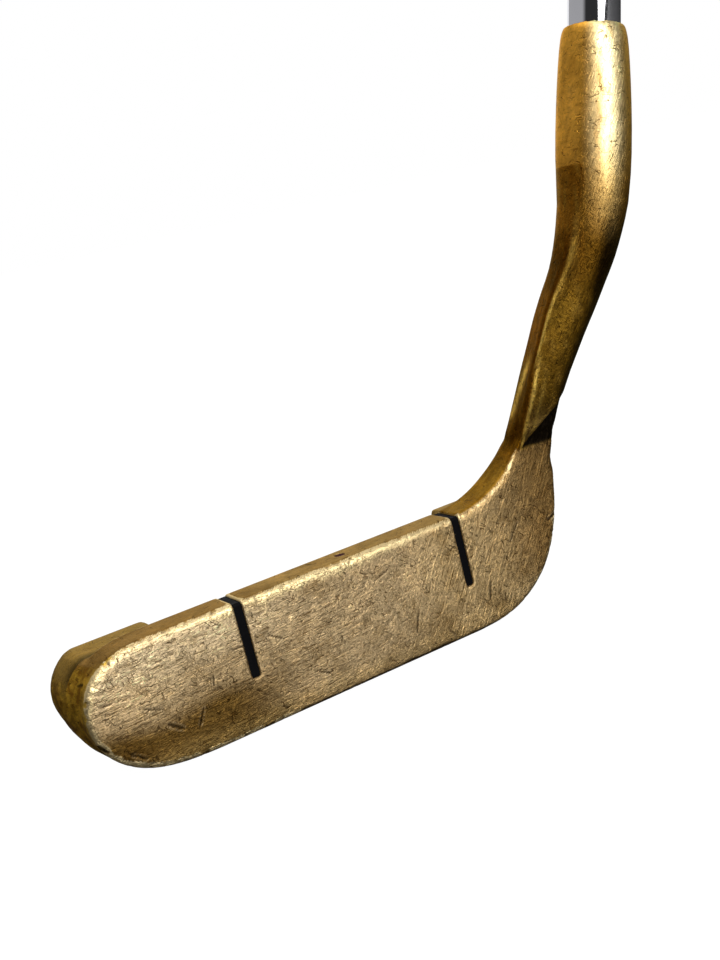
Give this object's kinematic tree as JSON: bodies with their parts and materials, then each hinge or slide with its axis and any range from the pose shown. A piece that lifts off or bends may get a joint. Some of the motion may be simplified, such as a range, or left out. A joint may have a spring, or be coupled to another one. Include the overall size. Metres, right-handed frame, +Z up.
{
  "type": "blade putter",
  "caption": "Heel-shafted brass blade putter with a gooseneck hosel, sight lines over the topline, a stepped steel shaft and a leather-wrapped grip.",
  "frame": {"origin": "on the flat of the sole, under the sweet-spot mark and midway in depth, with the club at address", "axes": "+X from toe to heel along the blade, -Y out of the face, +Z up; the shaft leans to +X at the lie angle"},
  "size_m": [0.3251, 0.0384, 0.8631],
  "materials": {
    "brass_casting": "worn satin with patina",
    "black_paint": "matte enamel",
    "red_paint": "matte enamel",
    "chromed_steel": "polished",
    "epoxy": "cured",
    "cork": "raw",
    "tape": "matte",
    "hard_rubber": "matte",
    "leather": "smooth",
    "finishing_tape": "semi-gloss",
    "rubber": "matte",
    "wood": "raw",
    "brass_screw": "polished"
  },
  "bodies": {
    "root": {"head": "brass_casting", "toe_sight_line_paint": "black_paint", "heel_sight_line_paint": "black_paint", "sweet_spot_paint": "red_paint", "shaft": "chromed_steel", "hosel_adhesive": "epoxy", "tip_plug": "cork", "grip_tape": "tape", "grip_core": "hard_rubber", "leather_wrap": "leather", "finishing_band": "finishing_tape", "grip_collar": "rubber", "butt_cap": "rubber", "butt_plug": "wood", "cap_screw": "brass_screw"}
  },
  "joints": []
}
